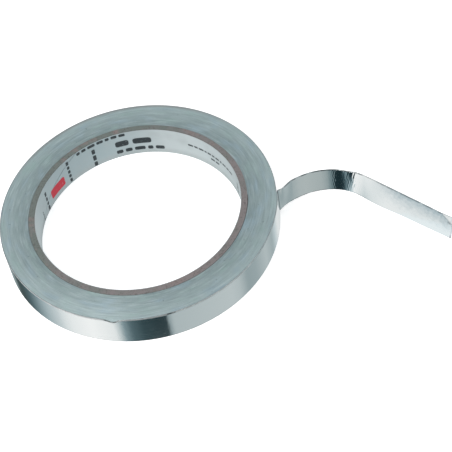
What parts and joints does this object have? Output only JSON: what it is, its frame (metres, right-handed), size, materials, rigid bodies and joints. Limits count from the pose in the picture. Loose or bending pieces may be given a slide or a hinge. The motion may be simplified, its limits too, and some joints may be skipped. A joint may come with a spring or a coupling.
{
  "type": "foil tape roll",
  "caption": "Flat roll of bright metal foil tape wound on a lined chipboard core, with the last turn folded off the roll into a curled tail standing on edge.",
  "frame": {"origin": "on the roll's axis, in the plane of the end face that it lies on", "axes": "+Z along the roll's axis, up from that face; +X towards the side where the tail lifts off"},
  "size_m": [0.1581, 0.1025, 0.0127],
  "materials": {
    "foil": "bright tin-plated rolled foil",
    "wound_edges": "satin slit edges of many turns",
    "adhesive": "clear tacky coat",
    "release_liner": "smooth coated paper",
    "chipboard": "matt grey board",
    "bore_liner": "smooth white paper with plain printed marks"
  },
  "bodies": {
    "roll": {"bore_liner": "bore_liner", "core_ply_1": "chipboard", "core_ply_2": "chipboard", "core_ply_3": "chipboard", "core_ply_4": "chipboard", "wound_tape": "wound_edges", "outer_turn_release_liner": "release_liner", "outer_turn_adhesive": "adhesive", "outer_turn_foil": "foil"},
    "tail": {"tail_release_liner": "release_liner", "tail_adhesive": "adhesive", "tail_foil": "foil"}
  },
  "joints": [
    {"name": "tail_peel", "type": "hinge", "parent": "roll", "child": "tail", "pos_m": [0.05112, -0.00975, 0], "axis": [0, 0, 1], "range_deg": [-60, 35]}
  ]
}
